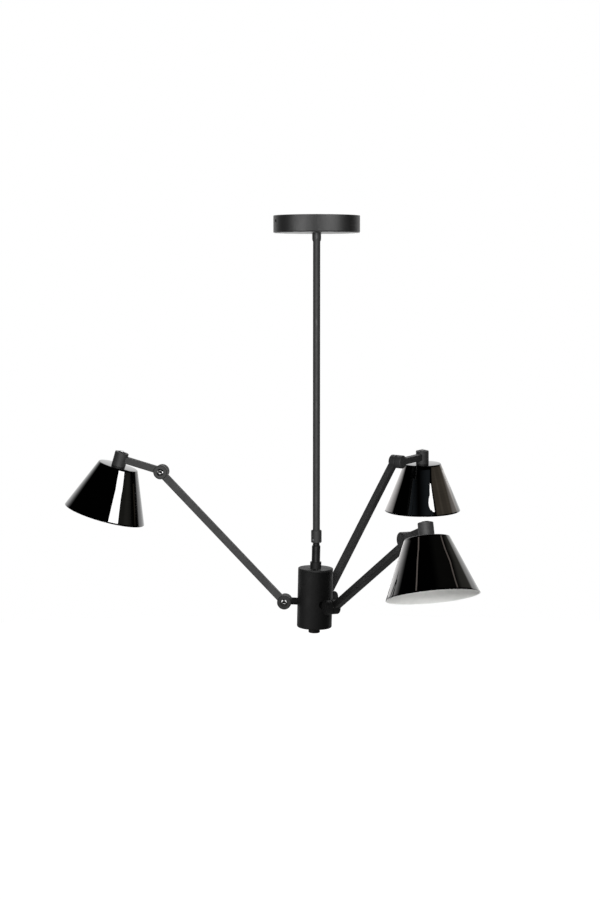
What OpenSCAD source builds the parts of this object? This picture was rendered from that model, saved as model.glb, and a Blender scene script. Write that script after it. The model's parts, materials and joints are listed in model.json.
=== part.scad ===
// Pendant light: a ceiling canopy, a down rod and a swivel hub with three jointed arms.
// Millimetres, +Z up. The origin is in the ceiling plane, on the axis of the rod.

/* [Canopy] */
// Outer diameter of the canopy cup
canopy_d = 125; // [112:1:160]
// Height of the canopy cup
canopy_h = 24.5; // [23:0.5:40]
// Wall of the canopy cup
canopy_wall = 1.2; // [0.8:0.1:2]
// Radius on the lower edge of the canopy
canopy_edge_r = 1.5; // [0.5:0.1:4]
// Direction of the two side screws, measured from +X
side_screw_turn = 20; // [-30:1:30]
// Drop of the side screws below the ceiling
side_screw_drop = 8; // [7:0.5:11]
// Diameter of the side screws
side_screw_d = 4; // [3:0.5:5]

/* [Mounting bracket] */
// Width of the bracket strap
strap_w = 20; // [16:1:30]
// Thickness of the bracket strap
strap_t = 2; // [1.5:0.5:3]
// Reach of the bent tabs below the ceiling
tab_drop = 15; // [13:1:18]
// Distance between the two ceiling screw holes
bolt_spacing = 84; // [70:1:92]
// Diameter of a ceiling screw hole
bolt_hole_d = 5; // [4:0.5:7]
// Hole in the strap for the supply wires
wire_hole_d = 12; // [8:1:16]

/* [Terminal block] */
// Length of the terminal block, along the wires
block_l = 18; // [14:1:20]
// Width of the terminal block, across the three poles
block_w = 28; // [24:1:34]
// Height of the terminal block
block_h = 12; // [10:1:14]
// Distance from the rod axis to the terminal block
block_start = 11; // [10:0.5:13]
// Distance between two poles of the terminal block
pole_pitch = 9; // [7:0.5:10]
// Diameter of a wire entry
pole_hole_d = 3; // [2:0.5:4]

/* [Down rod] */
// Outer diameter of the rod
rod_d = 10.5; // [9:0.5:12]
// Wall of the rod
rod_wall = 1; // [0.8:0.1:1.5]
// Wall of the threaded tube inside the rod's top
nipple_wall = 1; // [0.8:0.1:1.5]
// Length of threaded tube inside the rod
nipple_engage = 16; // [8:1:30]
// Length of threaded tube above its nut
nipple_proud = 2; // [1:0.5:4]
// Hexagon of the canopy nut, across flats
canopy_nut_af = 13; // [12:0.5:16]
// Height of the canopy nut
canopy_nut_h = 5; // [4:0.5:7]
// Diameter of the canopy nut's flange
canopy_flange_d = 18; // [17:1:24]
// Thickness of the canopy nut's flange
canopy_flange_t = 1.2; // [0.8:0.1:2]
// Height of the collar under the canopy
collar_h = 12; // [8:0.5:16]
// Wall of the collar round the rod
collar_wall = 1.2; // [1:0.1:4]
// Height of the taper at the foot of the collar
collar_taper_h = 3; // [1:0.5:5]
// Wall of the collar at its foot
collar_foot_wall = 0.5; // [0.3:0.1:0.9]
// Distance from the canopy's floor to the rod's upper end
collar_lip = 4; // [2:0.5:5]

/* [Swivel] */
// Drop from the ceiling to the centre of the ball
ball_drop = 469; // [200:1:1200]
// Diameter of the ball
ball_d = 12; // [11:0.5:12]
// Outer diameter of the swivel cup
cup_d = 15.5; // [15:0.5:18]
// Wall of the swivel cup round its cavity
cup_wall = 1.4; // [1.2:0.1:1.6]
// Radius on the upper and the lower edge of the swivel cup
cup_edge_r = 1.2; // [0.5:0.1:1.2]
// Reach of the cup above the ball's centre
cup_above = 11.8; // [11.5:0.1:16]
// Reach of the cup below the ball's centre
cup_below = 6.6; // [6:0.1:6.8]
// Radius of the mouth that the shank swings in
mouth_r = 5.3; // [5:0.1:5.4]
// Height of the threaded ring that holds the rod
plug_h = 6; // [5.5:0.5:6.5]
// Length of rod held in the threaded ring
rod_engage = 4.5; // [3:0.5:4.5]
// Reach of the friction pad down to the ball, above the ball's centre
seat_above = 3; // [2.5:0.5:4]
// Diameter of the locking screw
grub_d = 3; // [2:0.5:3]
// Drop of the locking screw below the ball's centre
grub_drop = 2; // [0:0.5:2]
// Direction of the locking screw, measured from +X
grub_turn = 233; // [180:1:300]
// Diameter of the shank under the ball
shank_d = 7.5; // [5:0.5:7.5]
// Drop from the ball's centre to the neck
neck_drop = 7.7; // [7.7:0.1:10]
// Diameter of the neck
neck_d = 10; // [8:0.5:10]
// Length of the neck
neck_l = 2.5; // [2:0.5:8]
// Length of the flare between neck and stem
flare_l = 1.5; // [1:0.5:4]
// Diameter of the stem
stem_d = 12.5; // [11.5:0.5:14]
// Passage for the wires through ball and stem
stem_bore = 3.5; // [2.5:0.5:4]

/* [Hub] */
// Drop from the ball's centre to the top of the hub
hub_drop = 44.3; // [40:0.1:70]
// Outer diameter of the hub
hub_d = 51.5; // [48:0.5:60]
// Height of the hub, lid included
hub_h = 88; // [80:1:110]
// Wall of the hub
hub_wall = 2; // [1.5:0.5:3]
// Floor of the hub
hub_floor = 3; // [2:0.5:5]
// Radius on the lower edge of the hub
hub_edge_r = 2; // [0.5:0.5:3]
// Thickness of the hub's lid
lid_t = 3; // [3:0.5:6]
// Radius on the upper edge of the lid
lid_edge_r = 1; // [0.5:0.1:1.5]
// Radius on the two edges of the seam between lid and hub
seam_r = 0.5; // [0.2:0.1:1]
// Depth of the lid's spigot inside the hub
spigot_l = 3; // [2:0.5:5]
// Diameter of the stem's thread in the lid
thread_d = 10; // [9:0.5:11]
// Length of stem thread below the hub nut
thread_proud = 2; // [1:0.5:5]
// Diameter of the collar on the hub
hub_collar_d = 16.5; // [15:0.5:20]
// Height of the collar on the hub
hub_collar_h = 9; // [8:0.5:14]
// Hexagon of the hub nut, across flats
hub_nut_af = 17; // [16:0.5:20]
// Height of the hub nut
hub_nut_h = 6; // [4:0.5:8]
// Diameter of the knob under the hub
finial_d = 17; // [14:0.5:24]
// Height of the knob under the hub
finial_h = 8.5; // [6:0.5:14]
// Radius on the lower edge of the knob
finial_r = 1.5; // [0.5:0.5:3]
// Diameter of the knob's stud
stud_d = 8; // [6:0.5:9]
// Length of the knob's stud inside the hub
stud_l = 8; // [6:0.5:12]
// Wall of the boss round the stud
boss_wall = 4; // [2:0.5:6]

/* [Arm joints] */
// Distance from the hub's axis to the arm hinges
pivot_r = 44; // [42:0.5:60]
// Drop from the top of the hub to the arm hinges
pivot_drop = 50.8; // [30:0.1:60]
// Diameter of the round stub
stub_d = 10.5; // [8:0.5:10.5]
// Length of the stub inside the hub
stub_inside = 8; // [7:0.5:10]
// Hexagon of a stub nut, across flats
stub_nut_af = 15; // [14:0.5:17]
// Length of a stub nut
stub_nut_l = 5; // [4:0.5:6]
// Diameter of the joint drums
drum_d = 20.8; // [18:0.1:24]
// Thickness of one half of a drum
half_t = 10.8; // [10.7:0.1:14]
// Radius on the outer edge of a drum half
drum_edge_r = 1.8; // [0.5:0.1:2]
// Chamfer on a drum half where the halves meet
drum_chamfer = 0.8; // [0.2:0.1:1]
// Gap between two drum halves
drum_gap = 0.6; // [0.5:0.1:1.2]
// Outer diameter of a friction washer
washer_d = 17; // [14:0.5:17]
// Diameter of a joint screw's shoulder
pin_d = 6; // [5:0.5:7]
// Depth of a joint screw in the far drum half
pin_engage = 8; // [6:0.5:8.5]
// Diameter of a joint screw's head
head_d = 10; // [9:0.5:11]
// Height of a joint screw's head under its dome
head_h = 3; // [2.5:0.5:4]
// Height of the dome on a joint screw's head
dome_h = 0.9; // [0.6:0.1:1.5]
// Hexagon socket of a joint screw, across flats
socket_af = 4; // [3:0.5:5]
// Depth of the hexagon socket
socket_depth = 2; // [1:0.5:2.5]

/* [Arms] */
// Length of an arm, hinge to hinge
arm_l = 263.6; // [150:0.1:400]
// Length of a forearm, hinge to post axis
forearm_l = 65; // [50:1:120]
// Height of the bar section, in the plane of the arm
bar_h = 10; // [8:0.5:12]
// Width of the bar section, along the hinge axis
bar_w = 10.5; // [8:0.5:10.5]
// Wall of the bar
bar_wall = 1.2; // [1:0.1:2]
// Radius on the long edges of the bar
bar_edge_r = 0.8; // [0.4:0.1:1]
// Length of a knuckle's tenon inside the bar
tenon_l = 16; // [8:1:20]

/* [Lamp heads] */
// Diameter of the post
post_d = 20.5; // [18:0.5:26]
// Height of the post above the shade
post_h = 20.6; // [18:0.1:30]
// Radius on the upper edge of the post
post_edge_r = 1; // [0.4:0.1:2]
// Height of the forearm's axis above the shade
forearm_rise = 11; // [7:0.5:12]
// Diameter of the head of the post screw
post_screw_d = 11; // [8:0.5:13]
// Height of the head of the post screw
post_screw_h = 2.6; // [1.5:0.1:4]
// Diameter of the post screw's thread
post_thread_d = 5; // [4:0.5:6]
// Length of the post screw's thread
post_thread_l = 6; // [4:0.5:7]
// Diameter of the shade at its flat top
shade_top_d = 59; // [50:0.5:70]
// Diameter of the shade at its rim
shade_rim_d = 121.5; // [100:0.5:160]
// Height of the shade
shade_h = 76; // [74:0.5:120]
// Wall of the shade
shade_wall = 1; // [0.8:0.1:2]
// Radius where the flat top turns into the cone
shade_turn_r = 1.5; // [1:0.1:3]
// Diameter of the lampholder's stud in the post
holder_stud_d = 10; // [8:0.5:12]
// Length of the lampholder's stud in the post
holder_stud_l = 10; // [6:0.5:11]
// Diameter of the lampholder's flange
holder_flange_d = 26; // [22:1:34]
// Thickness of the lampholder's flange
holder_flange_t = 2; // [1.5:0.5:3]
// Diameter of the lampholder's body
holder_d = 18; // [17:0.5:22]
// Length of the lampholder's body
holder_l = 20; // [14:1:22]
// Diameter of the bulb
bulb_d = 15; // [12:0.5:16]
// Length of the bulb below the holder
bulb_l = 38; // [25:1:40]
// Diameter of a bulb pin
bulb_pin_d = 1.6; // [1:0.1:2]
// Distance between the two bulb pins
bulb_pin_pitch = 9; // [7:0.5:9]
// Length of a bulb pin
bulb_pin_l = 7; // [5:0.5:9]

/* [Pose] */
// Lean of the hub on its ball, foot towards -X
hub_lean = 1.27; // [-10:0.01:10]
// Direction of the left arm, measured from +X
arm_turn = 174.3; // [0:0.1:360]
// Rise of the left arm above level
left_arm_rise = 44.9; // [-60:0.1:70]
// Rise of the rear arm above level
rear_arm_rise = 46.3; // [-60:0.1:70]
// Rise of the front arm above level
front_arm_rise = 30.4; // [-60:0.1:70]
// Rise of the left forearm above level
left_forearm_rise = 15.1; // [-60:0.1:60]
// Rise of the rear forearm above level
rear_forearm_rise = 3.3; // [-60:0.1:60]
// Rise of the front forearm above level
front_forearm_rise = 19.8; // [-60:0.1:60]
// Turn of the left head about its forearm's axis
left_head_turn = 0; // [-10:0.1:10]
// Turn of the rear head about its forearm's axis
rear_head_turn = 0; // [-10:0.1:10]
// Turn of the front head about its forearm's axis
front_head_turn = -2.2; // [-10:0.1:10]

/* [Clearances] */
// Radial clearance of a pin that turns in its bore
pin_clear = 0.05; // [0.02:0.01:0.1]
// Gap between flat faces that slide on each other
slip = 0.1; // [0.05:0.05:0.2]
// Gap round a piece that passes loosely through a hole
loose = 0.3; // [0.2:0.1:0.5]
// Gap between the ball and the cup it hangs in
ball_clear = 0.15; // [0.1:0.05:0.3]

/* [Hidden] */
$fn = 64;
// Overlap of cutting shapes past the face they cut
over = 1;
arm_names = ["left", "rear", "front"];
arm_turns = [arm_turn, arm_turn - 120, arm_turn + 120];
arm_rises = [left_arm_rise, rear_arm_rise, front_arm_rise];
forearm_rises = [left_forearm_rise, rear_forearm_rise, front_forearm_rise];
head_turns = [left_head_turn, rear_head_turn, front_head_turn];
arm_pieces = ["base_knuckle", "arm_bar", "arm_lower_knuckle", "arm_upper_knuckle", "arm_washers",
    "elbow_screw", "forearm_knuckle", "forearm", "post", "post_screw", "shade", "lampholder", "bulb"];

canopy_inner_r = canopy_d / 2 - canopy_wall;
canopy_floor_z = canopy_wall - canopy_h;
// Outer face of a bracket tab, just inside the round wall
tab_x = sqrt(pow(canopy_inner_r, 2) - pow(strap_w / 2, 2)) - loose;
rod_bore = rod_d - 2 * rod_wall;
nipple_bore = rod_bore - 2 * nipple_wall;
rod_top_z = -canopy_h - collar_lip;
ball_z = -ball_drop;
cup_top_z = ball_z + cup_above;
cup_foot_z = ball_z - cup_below;
cavity_r = cup_d / 2 - cup_wall;
socket_r = ball_d / 2 + ball_clear;
plug_foot_z = cup_top_z - plug_h;
rod_foot_z = cup_top_z - rod_engage;
hub_top_z = ball_z - hub_drop;
hub_foot_z = hub_top_z - hub_h;
hub_inner_r = hub_d / 2 - hub_wall;
collar_top_z = hub_top_z + hub_collar_h;
lid_foot_z = hub_top_z - lid_t;
spigot_foot_z = lid_foot_z - spigot_l;
hub_nut_foot_z = spigot_foot_z - hub_nut_h;
pivot_z = hub_top_z - pivot_drop;
drum_r = drum_d / 2;
pin_bore_r = pin_d / 2 + pin_clear;
// Distance between the mid planes of two drum halves, and the inner face of the arm's half
half_pitch = half_t + drum_gap;
arm_face = half_t / 2 + drum_gap;
tenon_h = bar_h - 2 * bar_wall;
tenon_w = bar_w - 2 * bar_wall;
// Sphere radius of a dome of height h on a circle of radius r
function dome_r(r, h) = (r * r + h * h) / (2 * h);
// Points of an arc about c, from one angle to another
function arc(c, r, from, to, steps = 8) =
    [for (k = [0 : steps]) let (angle = from + (to - from) * k / steps) c + r * [cos(angle), sin(angle)]];
// Corner radius of a hexagon from its width across flats
function hex_r(across_flats) = across_flats / sqrt(3);

// Placements

// Frame of the hub, which leans about the centre of the ball
module in_hub() {
    translate([0, 0, ball_z]) rotate([0, hub_lean, 0]) translate([0, 0, -ball_z]) children();
}

// Frame at an arm's base hinge: X outward, Y along the hinge axis, Z up
module at_base(i) {
    in_hub() rotate([0, 0, arm_turns[i]]) translate([pivot_r, 0, pivot_z]) children();
}

// Frame at the base hinge with X along the arm
module along_arm(i) {
    at_base(i) rotate([0, -arm_rises[i], 0]) children();
}

// Frame at the elbow with X along the forearm and Z along the post
module along_forearm(i) {
    at_base(i)
        translate([arm_l * cos(arm_rises[i]), 0, arm_l * sin(arm_rises[i])])
            rotate([0, -forearm_rises[i], 0]) children();
}

// Frame in a forearm's, where the post's axis meets it, turned with the head
module at_post(i) {
    translate([forearm_l, 0, 0]) rotate([head_turns[i], 0, 0]) children();
}

// Frame of a lamp head: origin on the post's axis in the shade's flat top
module at_head(i) {
    along_forearm(i) at_post(i) translate([0, 0, -forearm_rise]) children();
}

// Turns a shape that stands along Z so that it lies along +Y
module along_hinge() {
    rotate([-90, 0, 0]) children();
}

// Shared shapes

// Turned body from z = 0 to h, with a radius on its lower and its upper edge where one is given
module turned(r, h, low_r = 0, high_r = 0) {
    rotate_extrude() {
        translate([0, low_r]) square([r, h - low_r - high_r]);
        if (low_r > 0) {
            square([r - low_r, 2 * low_r]);
            translate([r - low_r, low_r]) quarter_round(low_r, -1);
        }
        if (high_r > 0) {
            translate([0, h - 2 * high_r]) square([r - high_r, 2 * high_r]);
            translate([r - high_r, h - high_r]) quarter_round(high_r, 1);
        }
    }
}

// Outer quarter of a circle, on its upper side for up = 1 or its lower side for up = -1
module quarter_round(r, up) {
    intersection() {
        circle(r);
        translate([-r / 2, up > 0 ? -r / 2 : -1.5 * r]) square(2 * r);
    }
}

// Upright cylinder from z = low to z = high, as a solid or as a hole
module upright(r, low, high) {
    translate([0, 0, low]) cylinder(r = r, h = high - low);
}

// Hexagon prism from z = 0 to h
module hexagon(across_flats, h) {
    cylinder(r = hex_r(across_flats), h = h, $fn = 6);
}

// Ring from z = 0 to h
module ring(outer_r, inner_r, h) {
    difference() {
        cylinder(r = outer_r, h = h);
        upright(inner_r, -over, h + over);
    }
}

// Rectangle with rounded corners, centred
module rounded_rectangle(w, h, r) {
    square([w - 2 * r, h], center = true);
    square([w, h - 2 * r], center = true);
    for (x = [-1, 1], y = [-1, 1])
        translate([x * (w / 2 - r), y * (h / 2 - r)]) circle(r);
}

// Half of a joint drum: the meeting face at z = 0, the outer face at z = half_t
module half_drum() {
    rotate_extrude() {
        polygon([[0, 0], [drum_r - drum_chamfer, 0], [drum_r, drum_chamfer],
            [drum_r, half_t - drum_edge_r], [0, half_t - drum_edge_r]]);
        translate([0, half_t - 2 * drum_edge_r]) square([drum_r - drum_edge_r, 2 * drum_edge_r]);
        translate([drum_r - drum_edge_r, half_t - drum_edge_r]) quarter_round(drum_edge_r, 1);
    }
}

// Half drum with a blind hole for the screw's end, lying on the hinge axis and centred on it
module threaded_half() {
    translate([0, half_t / 2, 0]) rotate([90, 0, 0]) difference() {
        half_drum();
        upright(pin_d / 2, -over, pin_engage);
    }
}

// Half drum that turns on the screw, with a sunk seat for the screw's head, and a tenon for the bar
module turning_half() {
    difference() {
        union() {
            translate([0, arm_face, 0]) along_hinge() half_drum();
            tenon();
        }
        translate([0, arm_face, 0]) along_hinge() {
            upright(pin_bore_r, -over, half_t);
            upright(head_d / 2 + loose, half_t - head_h, half_t + over);
        }
    }
}

// Tongue inside a bar, from within the drum outwards along +X, in the mid plane of the arm's half
module tenon(y = half_pitch) {
    translate([drum_r / 2 + pin_d / 4, y - tenon_w / 2, -tenon_h / 2])
        cube([drum_r / 2 - pin_d / 4 + tenon_l, tenon_w, tenon_h]);
}

// Rectangular tube along +X from x = 0 to l
module bar(l) {
    rotate([90, 0, 90]) linear_extrude(l) difference() {
        rounded_rectangle(bar_w, bar_h, bar_edge_r);
        square([tenon_w, tenon_h], center = true);
    }
}

// Shoulder screw of a joint: its thread ends in the far half, its head sits in the arm's half
module joint_screw() {
    head_z = arm_face + half_t - head_h + slip;
    upright(pin_d / 2, half_t / 2 - pin_engage, head_z);
    difference() {
        translate([0, 0, head_z]) union() {
            cylinder(d = head_d, h = head_h);
            intersection() {
                translate([0, 0, head_h + dome_h - dome_r(head_d / 2, dome_h)])
                    sphere(dome_r(head_d / 2, dome_h));
                cylinder(d = head_d, h = head_h + dome_h + over);
            }
        }
        translate([0, 0, head_z + head_h + dome_h - socket_depth])
            hexagon(socket_af, socket_depth + over);
    }
}

// Ceiling canopy and bracket

module canopy() {
    color("#1c1c1d") difference() {
        translate([0, 0, -canopy_h]) difference() {
            turned(canopy_d / 2, canopy_h, low_r = canopy_edge_r);
            upright(canopy_inner_r, canopy_wall, canopy_h + over);
            upright(rod_bore / 2 + loose, -over, canopy_h);
        }
        along_side_screws() upright(side_screw_d / 2 + loose, tab_x - strap_t, canopy_d);
    }
}

// Frame of each side screw: Z outward along the strap
module along_side_screws() {
    for (turn = [side_screw_turn, side_screw_turn + 180])
        rotate([0, 0, turn]) translate([0, 0, -side_screw_drop]) rotate([0, 90, 0]) children();
}

module mounting_bracket() {
    color("#b9bcc0") difference() {
        rotate([0, 0, side_screw_turn]) difference() {
            union() {
                translate([-tab_x, -strap_w / 2, -strap_t]) cube([2 * tab_x, strap_w, strap_t]);
                for (side = [0, 180]) rotate([0, 0, side])
                    translate([tab_x - strap_t, -strap_w / 2, -tab_drop])
                        cube([strap_t, strap_w, tab_drop]);
            }
            upright(wire_hole_d / 2, -canopy_h, over);
            for (side = [-1, 1]) translate([side * bolt_spacing / 2, 0, 0])
                upright(bolt_hole_d / 2, -strap_t - over, over);
        }
        along_side_screws() upright(side_screw_d / 2, tab_x - strap_t - over, tab_x + over);
    }
}

module canopy_side_screws() {
    color("#2a2a2c") along_side_screws() difference() {
        upright(side_screw_d / 2, tab_x - 2 * strap_t, canopy_d / 2 - slip);
        translate([0, 0, canopy_d / 2 - slip - side_screw_d / 2])
            hexagon(side_screw_d / 2, side_screw_d / 2 + over);
    }
}

module terminal_block() {
    block_foot_z = -strap_t - block_h;
    color("#e8e6df") rotate([0, 0, side_screw_turn]) translate([block_start, 0, block_foot_z])
        difference() {
            translate([0, -block_w / 2, 0]) cube([block_l, block_w, block_h]);
            for (pole = [-1, 0, 1]) translate([0, pole * pole_pitch, 0]) {
                translate([0, 0, block_h / 2]) rotate([0, 90, 0])
                    upright(pole_hole_d / 2, -over, block_l + over);
                for (x = [block_l / 4, block_l * 3 / 4])
                    translate([x, 0, 0]) upright(pole_hole_d / 2, -over, block_h / 2);
            }
        }
}

module canopy_nipple() {
    top_z = canopy_floor_z + canopy_nut_h + nipple_proud;
    foot_z = rod_top_z - nipple_engage;
    color("#c9b37a") translate([0, 0, foot_z]) ring(rod_bore / 2, nipple_bore / 2, top_z - foot_z);
}

module canopy_nut() {
    color("#c9b37a") translate([0, 0, canopy_floor_z]) difference() {
        union() {
            hexagon(canopy_nut_af, canopy_nut_h);
            cylinder(d = canopy_flange_d, h = canopy_flange_t);
        }
        upright(rod_bore / 2, -over, canopy_nut_h + over);
    }
}

module top_collar() {
    color("#1c1c1d") translate([0, 0, -canopy_h - collar_h]) difference() {
        union() {
            cylinder(r1 = rod_d / 2 + collar_foot_wall, r2 = rod_d / 2 + collar_wall, h = collar_taper_h);
            upright(rod_d / 2 + collar_wall, collar_taper_h, collar_h);
        }
        upright(rod_d / 2, -over, collar_h - collar_lip);
        upright(rod_bore / 2, 0, collar_h + over);
    }
}

module down_rod() {
    color("#232324") translate([0, 0, rod_foot_z]) ring(rod_d / 2, rod_bore / 2, rod_top_z - rod_foot_z);
}

// Swivel

module swivel_plug() {
    color("#1c1c1d") difference() {
        upright(cavity_r, plug_foot_z, cup_top_z);
        upright(rod_d / 2, rod_foot_z, cup_top_z + over);
        upright(rod_bore / 2, plug_foot_z - over, rod_foot_z + over);
    }
}

module swivel_cup() {
    color("#1c1c1d") difference() {
        translate([0, 0, cup_foot_z]) turned(cup_d / 2, cup_above + cup_below, cup_edge_r, cup_edge_r);
        upright(cavity_r, ball_z, cup_top_z + over);
        translate([0, 0, ball_z]) sphere(socket_r);
        upright(mouth_r, cup_foot_z - over, ball_z);
        along_grub() upright(grub_d / 2, 0, cup_d);
    }
}

// Frame of the locking screw: Z outward from the rod axis
module along_grub() {
    translate([0, 0, ball_z - grub_drop]) rotate([0, 0, grub_turn]) rotate([0, 90, 0]) children();
}

module swivel_grub_screw() {
    color("#8c8c90") along_grub() difference() {
        upright(grub_d / 2, socket_r + slip, cup_d / 2 - slip);
        translate([0, 0, cup_d / 2 - slip - grub_d / 4]) hexagon(grub_d / 2, grub_d);
    }
}

module swivel_seat() {
    color("#d9d4c4") difference() {
        upright(cavity_r - pin_clear, ball_z + seat_above, plug_foot_z - slip);
        translate([0, 0, ball_z]) sphere(ball_d / 2 + pin_clear);
        upright(stem_bore / 2 + loose, ball_z, cup_top_z);
    }
}

module ball_stem() {
    neck_z = ball_z - neck_drop;
    flare_z = neck_z - neck_l;
    thread_foot_z = hub_nut_foot_z - thread_proud;
    color("#1c1c1d") in_hub() difference() {
        union() {
            translate([0, 0, ball_z]) sphere(d = ball_d);
            upright(shank_d / 2, neck_z - over, ball_z);
            upright(neck_d / 2, flare_z, neck_z);
            translate([0, 0, flare_z - flare_l]) cylinder(d1 = stem_d, d2 = neck_d, h = flare_l);
            upright(stem_d / 2, collar_top_z, flare_z - flare_l);
            upright(thread_d / 2, thread_foot_z, collar_top_z + over);
        }
        upright(stem_bore / 2, thread_foot_z - over, ball_z + ball_d);
    }
}

// Hub

module hub_collar() {
    color("#1c1c1d") in_hub() translate([0, 0, hub_top_z])
        ring(hub_collar_d / 2, thread_d / 2, hub_collar_h);
}

module hub_top_cap() {
    color("#1c1c1d") in_hub() difference() {
        union() {
            translate([0, 0, lid_foot_z]) turned(hub_d / 2, lid_t, seam_r, lid_edge_r);
            upright(hub_inner_r, spigot_foot_z, lid_foot_z + over);
        }
        upright(thread_d / 2, spigot_foot_z - over, hub_top_z + over);
    }
}

module hub_nut() {
    color("#b9bcc0") in_hub() translate([0, 0, hub_nut_foot_z]) difference() {
        hexagon(hub_nut_af, hub_nut_h);
        upright(thread_d / 2, -over, hub_nut_h + over);
    }
}

module hub_body() {
    boss_top_z = hub_foot_z + stud_l;
    color("#1c1c1d") in_hub() difference() {
        translate([0, 0, hub_foot_z]) difference() {
            turned(hub_d / 2, lid_foot_z - hub_foot_z, hub_edge_r, seam_r);
            difference() {
                upright(hub_inner_r, hub_floor, hub_h);
                cylinder(d = stud_d + 2 * boss_wall, h = stud_l);
            }
        }
        upright(stud_d / 2, hub_foot_z - over, boss_top_z + over);
        for (turn = arm_turns) rotate([0, 0, turn]) translate([0, 0, pivot_z]) rotate([0, 90, 0])
            upright(stub_d / 2, 0, hub_d);
    }
}

module hub_finial() {
    color("#1c1c1d") in_hub() translate([0, 0, hub_foot_z - finial_h]) {
        turned(finial_d / 2, finial_h, low_r = finial_r);
        upright(stud_d / 2, finial_h - over, finial_h + stud_l);
    }
}

// Nuts on the stubs, each cut to the round inner wall that it pulls against
module stub_nuts() {
    color("#b9bcc0") in_hub() for (turn = arm_turns) rotate([0, 0, turn]) difference() {
        intersection() {
            translate([hub_inner_r - stub_nut_l, 0, pivot_z]) rotate([0, 90, 0])
                hexagon(stub_nut_af, stub_nut_l);
            upright(hub_inner_r, hub_foot_z, hub_top_z);
        }
        translate([0, 0, pivot_z]) rotate([0, 90, 0]) upright(stub_d / 2, 0, hub_d);
    }
}

module base_screws() {
    color("#3a3a3e") for (i = [0 : len(arm_names) - 1]) at_base(i) along_hinge() joint_screw();
}

// Arms

module base_knuckle(i) {
    inside_x = hub_inner_r - stub_inside - pivot_r;
    color("#1c1c1d") at_base(i) difference() {
        union() {
            threaded_half();
            rotate([0, 90, 0]) upright(stub_d / 2, inside_x, -pin_d / 2);
        }
        along_hinge() upright(pin_d / 2, half_t / 2 - pin_engage, half_t);
    }
}

module arm_bar(i) {
    color("#232324") along_arm(i) difference() {
        translate([0, half_pitch, 0]) bar(arm_l);
        for (x = [0, arm_l]) translate([x, 0, 0]) along_hinge() upright(drum_r, 0, 2 * half_pitch);
    }
}

module arm_lower_knuckle(i) {
    color("#1c1c1d") along_arm(i) turning_half();
}

module arm_upper_knuckle(i) {
    color("#1c1c1d") along_arm(i) translate([arm_l, 0, 0]) rotate([0, 180, 0]) turning_half();
}

// Washers that ride on the arm and rub on the hub's half and on the forearm's half
module arm_washers(i) {
    color("#d9d4c4") along_arm(i) for (x = [0, arm_l])
        translate([x, arm_face, 0]) rotate([90, 0, 0]) ring(washer_d / 2, pin_bore_r, drum_gap - slip);
}

module elbow_screw(i) {
    color("#3a3a3e") along_forearm(i) along_hinge() joint_screw();
}

module forearm_knuckle(i) {
    color("#1c1c1d") along_forearm(i) difference() {
        union() {
            threaded_half();
            tenon(0);
        }
        along_hinge() upright(pin_d / 2, half_t / 2 - pin_engage, half_t);
    }
}

module forearm(i) {
    color("#232324") along_forearm(i) difference() {
        bar(forearm_l);
        along_hinge() upright(drum_r, -half_pitch, half_pitch);
        at_post(i) upright(post_d / 2, -post_h, post_h);
    }
}

// Lamp heads

module post(i) {
    color("#1c1c1d") at_head(i) difference() {
        turned(post_d / 2, post_h, high_r = post_edge_r);
        upright(holder_stud_d / 2, -over, holder_stud_l);
        upright(post_thread_d / 2, post_h - post_thread_l, post_h + over);
    }
}

module post_screw(i) {
    sphere_r = dome_r(post_screw_d / 2, post_screw_h);
    color("#3a3a3e") at_head(i) translate([0, 0, post_h]) difference() {
        union() {
            intersection() {
                translate([0, 0, post_screw_h - sphere_r]) sphere(sphere_r);
                cylinder(d = post_screw_d + over, h = post_screw_h + over);
            }
            upright(post_thread_d / 2, -post_thread_l, over);
        }
        translate([0, 0, post_screw_h - socket_depth]) hexagon(socket_af, socket_depth + over);
    }
}

// Spun cone with a flat top, open at the rim
module shade(i) {
    top_r = shade_top_d / 2;
    rim_r = shade_rim_d / 2;
    slope = atan2(rim_r - top_r, shade_h);
    // Width of the wall measured level, and the run of the turn along the top
    level_wall = shade_wall / cos(slope);
    turn_run = shade_turn_r * tan((90 - slope) / 2);
    color("#141417") at_head(i) rotate_extrude() polygon(concat(
        [[holder_stud_d / 2, 0]],
        arc([top_r - turn_run, -shade_turn_r], shade_turn_r, 90, slope),
        [[rim_r, -shade_h], [rim_r - level_wall, -shade_h],
            [top_r - level_wall + shade_wall * tan(slope), -shade_wall],
            [holder_stud_d / 2, -shade_wall]]));
}

module lampholder(i) {
    flange_z = -shade_wall - holder_flange_t;
    color("#efece4") at_head(i) difference() {
        union() {
            upright(holder_stud_d / 2, flange_z, holder_stud_l);
            upright(holder_flange_d / 2, flange_z, -shade_wall);
            upright(holder_d / 2, flange_z - holder_l, flange_z + over);
        }
        for (side = [-1, 1]) translate([side * bulb_pin_pitch / 2, 0, 0])
            upright(bulb_pin_d / 2, flange_z - holder_l - over, flange_z - holder_l + bulb_pin_l);
    }
}

module bulb(i) {
    base_z = -shade_wall - holder_flange_t - holder_l;
    tip_z = base_z - bulb_l + bulb_d / 2;
    color("#f6f3e6") at_head(i) {
        upright(bulb_d / 2, tip_z, base_z);
        translate([0, 0, tip_z]) sphere(d = bulb_d);
        for (side = [-1, 1]) translate([side * bulb_pin_pitch / 2, 0, 0])
            upright(bulb_pin_d / 2, base_z - over, base_z + bulb_pin_l);
    }
}

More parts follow.
